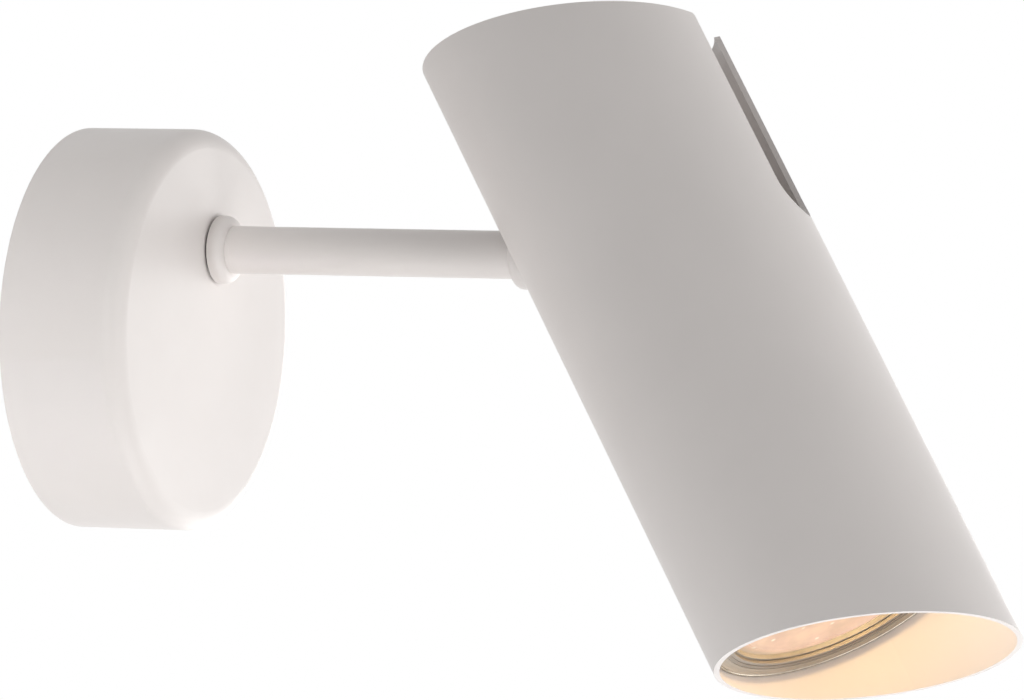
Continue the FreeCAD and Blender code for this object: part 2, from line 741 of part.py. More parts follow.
def tube_lugs():
    """Angle lugs welded inside the tube, under the carrier plate."""
    lugs = []
    for side in (-1, 1):
        far = side * tube_r
        shelf_x = sorted((side * (tube_bore_r - lug_shelf), far))
        leg_x = sorted((side * (tube_bore_r - lug_t), far))
        lug = block(shelf_x[0], shelf_x[1], -lug_w / 2, lug_w / 2, carrier_z - lug_t, carrier_z)
        lug = lug.fuse(block(leg_x[0], leg_x[1], -lug_w / 2, lug_w / 2, carrier_z - lug_leg, carrier_z))
        lug = lug.common(rod(tube_bore_r, Z * (carrier_z - lug_leg), Z * carrier_z)).removeSplitter()
        at = X * (side * lug_screw_x)
        lugs.append(lug.cut(rod(small_screw_d / 2, at + Z * (carrier_z - lug_t), at + Z * carrier_z)))
    return lugs


def carrier_screws():
    depth = carrier_t + lug_t + 1
    return [pan_screw(small_screw_d, depth, small_head_d, small_head_t,
                      vec(side * lug_screw_x, 0, web_z), Z * -1) for side in (-1, 1)]


def lead_grommet():
    flange_z = web_top_z + lead_grommet_flange_t
    neck = rod(lead_grommet_neck_d / 2, Z * carrier_z, Z * web_top_z)
    flange = rod(lead_grommet_flange_d / 2, Z * web_top_z, Z * flange_z)
    body = neck.fuse(flange).removeSplitter()
    return body.cut(rod(lead_spread + lead_d / 2, Z * carrier_z, Z * flange_z))


def holder_block(z0, z1):
    half_w = holder_w / 2
    half_d = holder_depth / 2
    r = holder_corner_r
    face = outline([(-half_w, -half_d, r), (half_w, -half_d, r), (half_w, half_d, r), (-half_w, half_d, r)],
                   lambda p: vec(p.x, p.y, z0))
    return face.extrude(Z * (z1 - z0))


def pin_places():
    return [X * (side * lamp_pin_pitch / 2) for side in (-1, 1)]


def lampholder_body():
    joint_z = holder_face_z + holder_body_h
    body = holder_block(holder_face_z, joint_z)
    deep_z = holder_face_z + holder_cavity_depth
    for at in pin_places():
        body = body.cut(rod(holder_cavity_d / 2, at + Z * holder_face_z, at + Z * deep_z))
    for side in (-1, 1):
        at = X * (side * holder_screw_from_axis)
        body = body.cut(rod(small_screw_d / 2, at + Z * (joint_z - holder_cover_h), at + Z * joint_z))
    return body


def lampholder_cover():
    joint_z = holder_face_z + holder_body_h
    cover = holder_block(joint_z, carrier_z)
    cover = cover.cut(rod(lead_spread + lead_d / 2, Z * joint_z, Z * carrier_z))
    for side in (-1, 1):
        at = X * (side * holder_screw_from_axis)
        cover = cover.cut(rod(small_screw_d / 2 + screw_clearance, at + Z * joint_z, at + Z * carrier_z))
    return cover


def lampholder_contacts():
    """Spring leaves that press on the heads of the lamp's pins."""
    contacts = []
    near = lamp_pin_head_d / 2 + screw_clearance / 2
    deep_z = holder_face_z + holder_cavity_depth
    for side in (-1, 1):
        face_x = side * (lamp_pin_pitch / 2 + near)
        x0, x1 = sorted((face_x, face_x + side * contact_t))
        contacts.append(block(x0, x1, -contact_w / 2, contact_w / 2, deep_z - contact_len, deep_z))
    return contacts


def lampholder_screws():
    depth = carrier_t + 2 * holder_cover_h
    return [pan_screw(small_screw_d, depth, small_head_d, small_head_t,
                      vec(side * holder_screw_from_axis, 0, web_z), Z * -1) for side in (-1, 1)]


def lamp_leads():
    """Two leads from the lampholder, up through the grommet towards the knuckle's window."""
    start_z = holder_face_z + holder_body_h
    end_z = -(knuckle_d / 2 + lead_d)
    return [rod(lead_d / 2, vec(dx, dy, start_z), vec(dx, dy, end_z)) for dx, dy in bundle(2)]


# ---- Head: lamp and ring ---------------------------------------------------------------------------------

def lamp_body():
    rim_r = lamp_r
    seat_z = lamp_face_z + lamp_lens_t
    neck_z = lamp_face_z + lamp_rim_len + lamp_bowl_len - lamp_rim_len / 2
    back_z = lamp_base_z - lamp_base_len
    return turned_on_tube([
        (rim_r, lamp_face_z, 0), (rim_r, lamp_face_z + lamp_rim_len, 1.5), (lamp_neck_d / 2, neck_z, 5),
        (lamp_neck_d / 2, back_z, 1.5), (0, back_z, 0), (0, seat_z, 0),
        (rim_r - lamp_rim_wall, seat_z, 0), (rim_r - lamp_rim_wall, lamp_face_z, 0),
    ])


def lamp_lens():
    """Flat glass with a soft bevel round its edge."""
    r = lamp_r - lamp_rim_wall
    seat_z = lamp_face_z + lamp_lens_t
    return turned_on_tube([(0, lamp_face_z, 0), (r - lens_bevel_w, lamp_face_z, lens_bevel_r),
                           (r, lamp_face_z + lens_bevel_h, 0), (r, seat_z, 0), (0, seat_z, 0)])


def lamp_base():
    r = lamp_base_d / 2
    back_z = lamp_base_z - lamp_base_len
    return turned_on_tube([(0, back_z, 0), (r, back_z, 0), (r, lamp_base_z, 1.5), (0, lamp_base_z, 0)])


def lamp_pins():
    pins = []
    head_z = lamp_base_z + lamp_pin_len - lamp_pin_head_t
    for at in pin_places():
        shank = rod(lamp_pin_d / 2, at + Z * lamp_base_z, at + Z * head_z)
        head = rod(lamp_pin_head_d / 2, at + Z * head_z, at + Z * (head_z + lamp_pin_head_t))
        pins.append(shank.fuse(head).removeSplitter())
    return pins


def front_ring():
    """Ring with a skirt round the lamp's rim, a lip in steps, and a rebate for the wire that holds it."""
    corners = [(ring_lip_r, ring_back_z, 0)]
    r = ring_lip_r
    z = ring_back_z - ring_lip_t
    for _ in range(ring_steps):
        corners.append((r, z, 0))
        r += ring_step_w
        corners.append((r, z, 0))
        z -= ring_step_h
    skirt_z = ring_back_z + ring_skirt_len
    skirt_in_r = ring_r - ring_skirt_t
    corners += [(r, z, 0), (snap_seat_r, z, 0), (snap_seat_r, snap_seat_z, 0), (ring_r, snap_seat_z, 0),
                (ring_r, skirt_z, 0), (skirt_in_r, skirt_z, 0), (skirt_in_r, ring_back_z, 0)]
    return turned_on_tube(corners)


def snap_ring():
    """Open wire ring on the front ring's rebate, which springs against the tube's bore."""
    ring = Part.makeTorus(snap_middle_r, snap_wire_r, vec(0, 0, snap_z), Z, -180, 180, 360 - snap_gap_deg)
    return ring.rotate(vec(0, 0, 0), Z, snap_gap_at_deg + snap_gap_deg / 2)


# ---- Files -----------------------------------------------------------------------------------------------

os.makedirs("parts", exist_ok=True)

keep("canopy", canopy())
keep("stop_stud", stop_stud())
keep("wall_plate", wall_plate())
keep("canopy_screw", canopy_screw())
keep("cable_grommet", cable_grommet())
keep("terminal_block", terminal_block())
keep("terminal_sleeves", *terminal_sleeves())
keep("terminal_screws", *terminal_screws())
keep("terminal_fixing_screws", *terminal_fixing_screws())
keep("terminal_leads", *terminal_leads())
keep("earth_screw", earth_screw())
keep("earth_washer", earth_washer())
keep("arm_bush", arm_bush())
keep("thrust_washer", thrust_washer())

keep("swivel_spring", swivel_spring())
keep("stop_washer", stop_washer())
keep("arm_nut", arm_nut())
keep("arm_end_sleeve", arm_end_sleeve())
keep("arm_tube", arm_tube())
keep("arm_collar", arm_collar())
keep("knuckle", knuckle())
keep("knuckle_grub_screw", knuckle_grub_screw())
keep("arm_leads", *arm_leads())

keep("head_tube", in_head(head_tube()))
keep("pivot_bracket", in_head(pivot_bracket()))
keep("friction_washers", *[in_head(s) for s in friction_washers()])
keep("pivot_screw", in_head(pivot_screw()))
keep("pivot_spring_washer", in_head(pivot_spring_washer()))
keep("pivot_nut", in_head(pivot_nut()))
keep("bracket_screws", *[in_head(s) for s in bracket_screws()])
keep("carrier_plate", in_head(carrier_plate()))
keep("tube_lugs", *[in_head(s) for s in tube_lugs()])
keep("carrier_screws", *[in_head(s) for s in carrier_screws()])
keep("lead_grommet", in_head(lead_grommet()))
keep("lampholder_body", in_head(lampholder_body()))
keep("lampholder_cover", in_head(lampholder_cover()))
keep("lampholder_contacts", *[in_head(s) for s in lampholder_contacts()])
keep("lampholder_screws", *[in_head(s) for s in lampholder_screws()])
keep("lamp_leads", *[in_head(s) for s in lamp_leads()])
keep("lamp_body", in_head(lamp_body()))
keep("lamp_lens", in_head(lamp_lens()))
keep("lamp_base", in_head(lamp_base()))
keep("lamp_pins", *[in_head(s) for s in lamp_pins()])
keep("front_ring", in_head(front_ring()))
keep("snap_ring", in_head(snap_ring()))
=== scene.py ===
import json
import math

import bpy
from mathutils import Matrix, Vector


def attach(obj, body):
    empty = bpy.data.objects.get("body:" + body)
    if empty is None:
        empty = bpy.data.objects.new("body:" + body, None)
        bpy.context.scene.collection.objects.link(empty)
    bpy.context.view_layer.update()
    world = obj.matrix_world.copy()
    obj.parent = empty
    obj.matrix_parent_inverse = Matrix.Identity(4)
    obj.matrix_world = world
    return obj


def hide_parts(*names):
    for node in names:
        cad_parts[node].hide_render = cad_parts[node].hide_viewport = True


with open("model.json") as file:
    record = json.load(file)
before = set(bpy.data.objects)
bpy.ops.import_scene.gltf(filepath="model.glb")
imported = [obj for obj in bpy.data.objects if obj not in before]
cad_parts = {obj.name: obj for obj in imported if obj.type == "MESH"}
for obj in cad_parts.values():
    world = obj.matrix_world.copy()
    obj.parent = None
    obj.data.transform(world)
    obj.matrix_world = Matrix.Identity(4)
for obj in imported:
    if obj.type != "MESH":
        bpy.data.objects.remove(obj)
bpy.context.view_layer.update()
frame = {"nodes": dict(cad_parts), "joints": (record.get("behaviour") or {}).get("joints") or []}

bl_info = {
    "name": "Pivoting Spotlight",
    "version": (1, 0, 0),
    "blender": (4, 5, 0),
    "location": "View3D > Sidebar > Spotlight",
    "description": "Dresses the wall spotlight: its finishes, the lit lamp and the stage",
    "category": "Object",
}

PIVOT = Vector(next(j["pos_m"] for j in frame["joints"] if j["name"] == "head_tilt"))
TILT = math.radians(33)  # the head's tilt from hanging straight down, as built
HEAD_PLACE = Matrix.Translation(PIVOT) @ Matrix.Rotation(-TILT, 4, "X")


def turned_size(node):
    """Radius, lowest and highest place of a round piece, from the pivot along the tube."""
    upright = HEAD_PLACE.inverted()
    points = [upright @ v.co for v in frame["nodes"][node].data.vertices]
    return max(p.xy.length for p in points), min(p.z for p in points), max(p.z for p in points)


LENS_RADIUS, LENS_FACE, LENS_BACK = turned_size("lamp_lens")
LIP_GAP = 0.0018  # from the glass's edge to the ring's lip
RING_LIP = LENS_RADIUS + LIP_GAP
PAINTED_LIP_SHADE_WIDTH = 0.0015  # over which the painted shade on the lip fades out

# The front glass: a bevel, a narrow land, a fine step and a flat, all rounded a little.
GLASS_SIDES = 128
GLASS_LAND = 0.0004
STEP_WIDTH = 0.0003
STEP_DEPTH = 0.0002
STEP_FLAT = 0.0006
EDGE_ROUND = 0.00025
EDGE_SEGMENTS = 3
ROUNDED_ABOVE = math.radians(12)
SMOOTH_BELOW = math.radians(35)
FACING_DOWN = -0.9  # a face counts as the glass's front when its normal's Z is below this

# Soft boxes; each takes its power from the stage's setting of the same name.
LIGHT_PLACES = {
    "front": (-0.39, -1.56, 0),
    "front_right": (0.9, -1.32, 0),
    "front_low": (0, -0.67, -0.95),
    "right": (1.5, -0.12, 0),
    "wall_low": (-0.34, 0.56, -0.79),
}
LAMP_MIDDLE = (0, -0.12, 0)
SOFT_BOX_SIZE = 1.0
CANOPY_LIGHT_PLACE = (-0.45, 0.02, -0.02)
CANOPY_LIGHT_AIM = (0, -0.006, 0.005)
CANOPY_LIGHT_SIZE = 0.1
CANOPY_LIGHT_SPREAD = math.radians(16)

FLOOR_CELLS = 12
HORIZON_BLUR = 0.02  # half the band in which the even light goes from below to above
SENSOR_WIDTH = 36.0
CAMERA_REACH = 50.0

WHITE = (1, 1, 1, 1)


# ---- Settings ----

class LacquerSettings(bpy.types.PropertyGroup):
    """Powder coat of the canopy, arm and head tube"""
    colour: bpy.props.FloatVectorProperty(
        name="Colour", description="Matte white powder coat", subtype="COLOR", size=3, min=0, max=1,
        default=(0.80, 0.755, 0.731))
    roughness: bpy.props.FloatProperty(
        name="Roughness", description="How matte the coat is", subtype="FACTOR", min=0, max=1,
        default=0.46)
    grain: bpy.props.FloatProperty(
        name="Grain", description="Size of the powder coat's fine texture", subtype="DISTANCE",
        unit="LENGTH", min=0.0001, max=0.01, default=0.0007)


class LampSettings(bpy.types.PropertyGroup):
    """Lit front glass and the light that it throws"""
    glow_colour: bpy.props.FloatVectorProperty(
        name="Glow colour", description="Warm white of the lit glass", subtype="COLOR", size=3,
        min=0, max=1, default=(0.87, 0.56, 0.385))
    glow: bpy.props.FloatProperty(
        name="Glow", description="Brightness of the glass; 1 shows its colour as set", min=0,
        max=20, default=0.67)
    bevel_width: bpy.props.FloatProperty(
        name="Bevel width", description="Width of the soft bevel round the glass",
        subtype="DISTANCE", unit="LENGTH", default=0.003)
    bevel_height: bpy.props.FloatProperty(
        name="Bevel height", description="How far the bevel falls back at the glass's edge",
        subtype="DISTANCE", unit="LENGTH", default=0.001)
    beam_colour: bpy.props.FloatVectorProperty(
        name="Beam colour", description="Colour of the light that the lamp throws", subtype="COLOR",
        size=3, min=0, max=1, default=(1.0, 0.69, 0.31))
    beam: bpy.props.FloatProperty(
        name="Beam", description="Light that the lamp throws down the tube", unit="POWER", min=0,
        default=0.0128)
    source_size: bpy.props.FloatProperty(
        name="Source size", description="Width of the beam's source", subtype="DISTANCE",
        unit="LENGTH", default=0.014)
    source_depth: bpy.props.FloatProperty(
        name="Source depth", description="The beam's source behind the glass's face",
        subtype="DISTANCE", unit="LENGTH", default=0.009)


class StageSettings(bpy.types.PropertyGroup):
    """Floor, even light and soft boxes"""
    floor_height: bpy.props.FloatProperty(
        name="Floor height", description="Height of the pale floor", subtype="DISTANCE",
        unit="LENGTH", default=-1.2)
    floor_size: bpy.props.FloatProperty(
        name="Floor size", description="Width of the floor", subtype="DISTANCE", unit="LENGTH",
        default=12.0)
    floor_colour: bpy.props.FloatVectorProperty(
        name="Floor colour", description="Pale matte floor", subtype="COLOR", size=3, min=0, max=1,
        default=(0.82, 0.82, 0.82))
    floor_lift: bpy.props.FloatProperty(
        name="Floor lift", description="How much paler the camera sees the floor", min=0, max=1,
        default=0.45)
    sky_above: bpy.props.FloatProperty(
        name="Light from above", description="Level of the even light from above", min=0, max=2,
        default=0.465)
    sky_below: bpy.props.FloatProperty(
        name="Light from below", description="Level of the even light from below the horizon",
        min=0, max=2, default=0.05)
    front: bpy.props.FloatProperty(
        name="Front light", description="Soft light in front", unit="POWER", min=0, default=4.6)
    front_right: bpy.props.FloatProperty(
        name="Front right light", description="Soft light in front, to the right", unit="POWER",
        min=0, default=7.1)
    front_low: bpy.props.FloatProperty(
        name="Low front light", description="Soft light from below the front", unit="POWER",
        min=0, default=4.3)
    right: bpy.props.FloatProperty(
        name="Right light", description="Soft light from the right", unit="POWER", min=0,
        default=10.6)
    wall_low: bpy.props.FloatProperty(
        name="Low wall light", description="Soft light from below, beside the wall", unit="POWER",
        min=0, default=3.1)
    canopy_side: bpy.props.FloatProperty(
        name="Canopy light", description="Narrow soft light on the canopy's side", unit="POWER",
        min=0, default=0.009)


class CameraSettings(bpy.types.PropertyGroup):
    """Viewing angle of the photograph"""
    azimuth: bpy.props.FloatProperty(
        name="Azimuth", description="Camera's turn round the lamp; 0 looks along +Y",
        subtype="ANGLE", unit="ROTATION", default=math.radians(294.13))
    elevation: bpy.props.FloatProperty(
        name="Elevation", description="Camera's angle above level", subtype="ANGLE",
        unit="ROTATION", default=math.radians(-13.84))
    roll: bpy.props.FloatProperty(
        name="Roll", description="Camera's turn about its own line of sight", subtype="ANGLE",
        unit="ROTATION", default=math.radians(7.48))
    distance: bpy.props.FloatProperty(
        name="Distance", description="Camera to the aimed point", subtype="DISTANCE",
        unit="LENGTH", default=1.6842)
    aim: bpy.props.FloatVectorProperty(
        name="Aim", description="Point in the middle of the picture", subtype="XYZ", unit="LENGTH",
        size=3, default=(0.0, -0.09947, -0.00278))
    lens: bpy.props.FloatProperty(
        name="Lens", description="Focal length on a 36 mm sensor", subtype="DISTANCE_CAMERA",
        unit="CAMERA", default=281.25)


# ---- Node helpers ----

class Finish:
    """A material whose nodes are added a few at a time, all on Object coordinates."""

    def __init__(self, name):
        self.material = bpy.data.materials.new(name)
        self.material.use_nodes = True
        self.tree = self.material.node_tree
        self.shader = next(n for n in self.tree.nodes if n.type == "BSDF_PRINCIPLED")
        self.place = self.tree.nodes.new("ShaderNodeTexCoord").outputs["Object"]

    def set(self, **values):
        """Sets the shader's own sockets to plain values."""
        for socket, value in values.items():
            self.shader.inputs[socket.replace("_", " ")].default_value = value
        return self

    def link(self, output, socket):
        """Feeds one of the shader's sockets."""
        self.tree.links.new(output, self.shader.inputs[socket])

    def stretched(self, scale):
        """Object coordinates scaled unevenly, for rolling marks."""
        node = self.tree.nodes.new("ShaderNodeMapping")
        node.inputs["Scale"].default_value = scale
        self.tree.links.new(self.place, node.inputs["Vector"])
        return node.outputs["Vector"]

    def upright(self):
        """Object coordinates measured from the pivot, with the tube's axis along Z."""
        node = self.tree.nodes.new("ShaderNodeMapping")
        node.vector_type = "TEXTURE"
        node.inputs["Location"].default_value = PIVOT
        node.inputs["Rotation"].default_value = (-TILT, 0, 0)
        self.tree.links.new(self.place, node.inputs["Vector"])
        return node.outputs["Vector"]

    def distance_from_axis(self, place):
        """Distance from the tube's axis of a place that upright gave."""
        flat = self.tree.nodes.new("ShaderNodeVectorMath")
        flat.operation = "MULTIPLY"
        flat.inputs[1].default_value = (1, 1, 0)
        self.tree.links.new(place, flat.inputs[0])
        length = self.tree.nodes.new("ShaderNodeVectorMath")
        length.operation = "LENGTH"
        self.tree.links.new(flat.outputs["Vector"], length.inputs[0])
        return length.outputs["Value"]

    def turned(self, size, detail=2.0):
        """Noise that runs in circles round the tube's axis, as a lathe leaves it."""
        place = self.upright()
        height = self.tree.nodes.new("ShaderNodeSeparateXYZ")
        self.tree.links.new(place, height.inputs[0])
        ring = self.tree.nodes.new("ShaderNodeCombineXYZ")
        self.tree.links.new(self.distance_from_axis(place), ring.inputs["X"])
        self.tree.links.new(height.outputs["Z"], ring.inputs["Z"])
        return self.noise(size, detail, place=ring.outputs[0])

    def blend(self, factor, first, second, mode="MIX"):
        """Mixes two colours, of which either may be an output or a plain colour."""
        node = self.tree.nodes.new("ShaderNodeMix")
        node.data_type = "RGBA"
        node.blend_type = mode
        sockets = node.inputs[0], node.inputs[6], node.inputs[7]
        for value, socket in zip((factor, first, second), sockets):
            if isinstance(value, bpy.types.NodeSocket):
                self.tree.links.new(value, socket)
            else:
                socket.default_value = (*value, 1) if isinstance(value, tuple) else value
        return node.outputs[2]

    def noise(self, size, detail=2.0, roughness=0.5, place=None):
        """Cloudy noise whose features are about as large as size, in metres."""
        node = self.tree.nodes.new("ShaderNodeTexNoise")
        node.inputs["Scale"].default_value = 1 / size
        node.inputs["Detail"].default_value = detail
        node.inputs["Roughness"].default_value = roughness
        self.tree.links.new(place or self.place, node.inputs["Vector"])
        return node.outputs["Fac"]

    def cells(self, size, place=None):
        """Distance to the nearest of scattered points: facets, specks or a moulded grain."""
        node = self.tree.nodes.new("ShaderNodeTexVoronoi")
        node.inputs["Scale"].default_value = 1 / size
        self.tree.links.new(place or self.place, node.inputs["Vector"])
        return node.outputs["Distance"]

    def tones(self, factor, dark, light, low=0.35, high=0.65):
        """Goes from one colour to another as the factor goes from low to high."""
        node = self.tree.nodes.new("ShaderNodeValToRGB")
        node.color_ramp.elements[0].position = low
        node.color_ramp.elements[0].color = (*dark, 1)
        node.color_ramp.elements[1].position = high
        node.color_ramp.elements[1].color = (*light, 1)
        self.tree.links.new(factor, node.inputs["Fac"])
        return node.outputs["Color"]

    def span(self, factor, low, high, start=0.3, end=0.7):
        """Goes from low to high as the factor goes from start to end."""
        node = self.tree.nodes.new("ShaderNodeMapRange")
        node.inputs["From Min"].default_value = start
        node.inputs["From Max"].default_value = end
        node.inputs["To Min"].default_value = low
        node.inputs["To Max"].default_value = high
        self.tree.links.new(factor, node.inputs["Value"])
        return node.outputs["Result"]

    def relief(self, height, depth, under=None):
        """Bump of a given depth in metres, laid over an earlier one."""
        node = self.tree.nodes.new("ShaderNodeBump")
        node.inputs["Distance"].default_value = depth
        node.inputs["Strength"].default_value = 1.0
        self.tree.links.new(height, node.inputs["Height"])
        if under is not None:
            self.tree.links.new(under, node.inputs["Normal"])
        self.link(node.outputs["Normal"], "Normal")
        return node.outputs["Normal"]


def scaled(colour, factor):
    """A colour made lighter or darker, never above white."""
    return tuple(min(1.0, c * factor) for c in colour)


def finish_nodes(finish, *nodes):
    """Gives CAD nodes a finish."""
    for name in nodes:
        mesh = frame["nodes"][name].data
        mesh.materials.clear()
        mesh.materials.append(finish)


# ---- Finishes ----

# Darkest and lightest tone of each finish.
TONES = {
    "zinc_plate": ((0.50, 0.51, 0.53), (0.66, 0.67, 0.67)),
    "plated_steel": ((0.52, 0.51, 0.50), (0.66, 0.65, 0.63)),
    "spring_wire": ((0.40, 0.37, 0.31), (0.52, 0.48, 0.41)),
    "turned_brass": ((0.60, 0.44, 0.20), (0.78, 0.60, 0.32)),
    "satin_aluminium": ((0.42, 0.37, 0.31), (0.60, 0.54, 0.46)),
    "steatite": ((0.70, 0.67, 0.60), (0.80, 0.78, 0.72)),
    "black_nylon": ((0.045, 0.045, 0.047), (0.075, 0.075, 0.077)),
    "black_rubber": ((0.05, 0.05, 0.05), (0.09, 0.088, 0.085)),
    "white_plastic": ((0.76, 0.75, 0.71), (0.82, 0.81, 0.77)),
    "lead_insulation": ((0.68, 0.67, 0.62), (0.76, 0.75, 0.70)),
    "lamp_shell": ((0.42, 0.37, 0.30), (0.50, 0.45, 0.38)),
    "lamp_base": ((0.80, 0.79, 0.77), (0.86, 0.85, 0.83)),
}
CLOUD = ((0.94, 0.94, 0.94), (1.0, 1.0, 1.0))
# Painted shade: a darker tone on the ring's lip next to the lamp, where the beam lights it.
PAINTED_LIP_SHADE = (0.80, 0.81, 0.84)

# The lit glass: tones of its glow, of the glass itself, and the sizes of what shows through.
MOTTLE = ((0.88, 0.84, 0.82), (1.06, 1.05, 1.03))
SPECK_GLOW = (1.0, 0.90, 0.72)
BEVEL_GLOW = (0.68, 0.50, 0.34)
GLASS_TONE = (0.26, 0.22, 0.18)
BEVEL_TONE = (0.14, 0.12, 0.09)
FACET_SIZE = 0.0058
MOTTLE_SIZE = 0.007
SPECK_SPACING = 0.0047
PRISM_SIZE = 0.0011
GLOW_MARGIN = 0.0002  # the bevel's glow is fully its own this far inside the glass's edge


def powder_coat(settings):
    """Matte white powder coat: fine orange peel, a very slight waver in tone and in gloss."""
    coat = Finish("powder_coat").set(IOR=1.5)
    colour = tuple(settings.colour)
    darker, lighter = scaled(colour, 0.985), scaled(colour, 1.01)
    coat.link(coat.tones(coat.noise(0.03, detail=3), darker, lighter), "Base Color")
    smoother, rougher = settings.roughness - 0.03, settings.roughness + 0.04
    coat.link(coat.span(coat.noise(0.006, detail=2), smoother, rougher), "Roughness")
    peel = coat.relief(coat.noise(settings.grain * 4, detail=1), depth=0.00002)
    coat.relief(coat.noise(settings.grain, detail=2), depth=0.000008, under=peel)
    return coat.material


def zinc_plate():
    """Bright zinc on pressed sheet: faint rolling lines and a cloudy tone."""
    zinc = Finish("zinc_plate").set(Metallic=1.0)
    rolled = zinc.stretched((1, 0.06, 1))
    zinc.link(zinc.tones(zinc.noise(0.008, detail=4), *TONES["zinc_plate"]), "Base Color")
    zinc.link(zinc.span(zinc.noise(0.0006, detail=2, place=rolled), 0.30, 0.46), "Roughness")
    zinc.relief(zinc.noise(0.0004, detail=2, place=rolled), depth=0.000006)
    return zinc.material


def plated_steel():
    """Nickel-plated screws, nuts and washers, a little worn in tone and gloss."""
    steel = Finish("plated_steel").set(Metallic=1.0)
    steel.link(steel.tones(steel.noise(0.002, detail=3), *TONES["plated_steel"]), "Base Color")
    steel.link(steel.span(steel.noise(0.0005, detail=2), 0.24, 0.38), "Roughness")
    steel.relief(steel.noise(0.0002, detail=1), depth=0.000005)
    return steel.material


def spring_wire():
    """Oil-tempered spring wire, drawn bright, with drawing lines."""
    wire = Finish("spring_wire").set(Metallic=1.0)
    wire.link(wire.tones(wire.noise(0.002, detail=3), *TONES["spring_wire"]), "Base Color")
    wire.link(wire.span(wire.turned(0.0003), 0.22, 0.34), "Roughness")
    wire.relief(wire.turned(0.0002), depth=0.000004)
    return wire.material


def turned_brass():
    """Turned brass, a little uneven in tone."""
    brass = Finish("turned_brass").set(Metallic=1.0)
    brass.link(brass.tones(brass.noise(0.0025, detail=3), *TONES["turned_brass"]), "Base Color")
    brass.link(brass.span(brass.noise(0.0008, detail=2), 0.24, 0.42), "Roughness")
    brass.relief(brass.noise(0.0002, detail=1), depth=0.000005)
    return brass.material


def satin_aluminium():
    """Satin anodised ring with fine turning marks round it, and painted shade on the lip next to
    the lamp.
    """
    ring = Finish("satin_aluminium").set(Metallic=1.0)
    marks = ring.turned(0.0009, detail=3)
    lines = ring.tones(marks, *TONES["satin_aluminium"], low=0.3, high=0.62)
    cloud = ring.tones(ring.noise(0.006, detail=3), *CLOUD)
    # Painted shade on the lip next to the lamp, fading out over a narrow band past the lip's edge.
    outward = ring.span(ring.distance_from_axis(ring.upright()), 0.0, 1.0,
                        start=RING_LIP, end=RING_LIP + PAINTED_LIP_SHADE_WIDTH)
    shade = ring.blend(outward, PAINTED_LIP_SHADE, (1.0, 1.0, 1.0))
    worn = ring.blend(1.0, lines, cloud, "MULTIPLY")
    ring.link(ring.blend(1.0, worn, shade, "MULTIPLY"), "Base Color")
    ring.link(ring.span(ring.turned(0.0004), 0.54, 0.66), "Roughness")
    ring.relief(ring.turned(0.00035), depth=0.000004)
    return ring.material


def moulded(name, roughness, grain):
    """Moulded plastic or rubber: spark-eroded grain and a slightly cloudy tone."""
    plastic = Finish(name)
    plastic.link(plastic.tones(plastic.noise(0.006, detail=3), *TONES[name]), "Base Color")
    smoother, rougher = roughness - 0.05, roughness + 0.06
    plastic.link(plastic.span(plastic.noise(0.002, detail=2), smoother, rougher), "Roughness")
    plastic.relief(plastic.cells(grain), depth=0.00001)
    return plastic.material


def steatite():
    """Unglazed lampholder ceramic: chalky, with fine pores and a few darker specks."""
    clay = Finish("steatite")
    chalk = clay.noise(0.0012, detail=5, roughness=0.7)
    clay.link(clay.tones(chalk, *TONES["steatite"], low=0.25, high=0.5), "Base Color")
    clay.link(clay.span(clay.noise(0.003, detail=2), 0.62, 0.78), "Roughness")
    clay.relief(clay.noise(0.0004, detail=4), depth=0.00003)
    return clay.material


def lit_glass(settings):
    """Front glass lit from behind: the reflector's facets, bright specks, a duller bevel."""
    glass = Finish("lit_glass").set(IOR=1.4, Emission_Strength=settings.glow)
    place = glass.upright()
    red, green, blue = settings.glow_colour
    creamy = (red * 1.06, green * 1.05, blue)
    rosy = (red, green * 0.93, blue * 0.95)
    facets = glass.tones(glass.cells(FACET_SIZE, place), creamy, rosy, low=0.2, high=0.7)
    mottle = glass.noise(MOTTLE_SIZE, detail=3, place=place)
    soft = glass.tones(mottle, *MOTTLE, low=0.38, high=0.62)
    specks = glass.span(glass.cells(SPECK_SPACING, place), 1.0, 0.0, start=0.05, end=0.14)
    lit = glass.blend(specks, glass.blend(1.0, facets, soft, "MULTIPLY"), SPECK_GLOW)
    falling = glass.span(glass.distance_from_axis(place), 0.0, 1.0,
                         start=LENS_RADIUS - settings.bevel_width, end=LENS_RADIUS - GLOW_MARGIN)
    glass.link(glass.blend(falling, lit, BEVEL_GLOW), "Emission Color")
    glass.link(glass.blend(falling, GLASS_TONE, BEVEL_TONE), "Base Color")
    glass.link(glass.span(falling, 0.22, 0.6, start=0.0, end=0.6), "Roughness")
    glass.relief(glass.cells(PRISM_SIZE), depth=0.00002)
    return glass.material


def seen_directly(tree):
    """1 where the camera, a gloss or glass looks, 0 for the rays that light the object."""
    path = tree.nodes.new("ShaderNodeLightPath")
    seen = path.outputs["Is Camera Ray"]
    for ray in ("Is Glossy Ray", "Is Transmission Ray"):
        either = tree.nodes.new("ShaderNodeMath")
        either.operation = "MAXIMUM"
        tree.links.new(seen, either.inputs[0])
        tree.links.new(path.outputs[ray], either.inputs[1])
        seen = either.outputs[0]
    return seen


def matte_floor(settings):
    """Pale matte floor, clear from beneath; its lift shows but lights nothing."""
    floor = Finish("floor_paint").set(Roughness=0.9, Emission_Color=WHITE)
    colour = tuple(settings.floor_colour)
    lift = floor.span(seen_directly(floor.tree), 0.0, settings.floor_lift, start=0.0, end=1.0)
    floor.link(lift, "Emission Strength")
    underside = floor.tree.nodes.new("ShaderNodeNewGeometry").outputs["Backfacing"]
    floor.link(floor.span(underside, 1.0, 0.0, start=0.0, end=1.0), "Alpha")
    darker, lighter = scaled(colour, 0.99), scaled(colour, 1.01)
    floor.link(floor.tones(floor.noise(0.4, detail=3), darker, lighter), "Base Color")
    floor.relief(floor.noise(0.01, detail=2), depth=0.0002)
    return floor.material


# ---- Modelling helpers ----

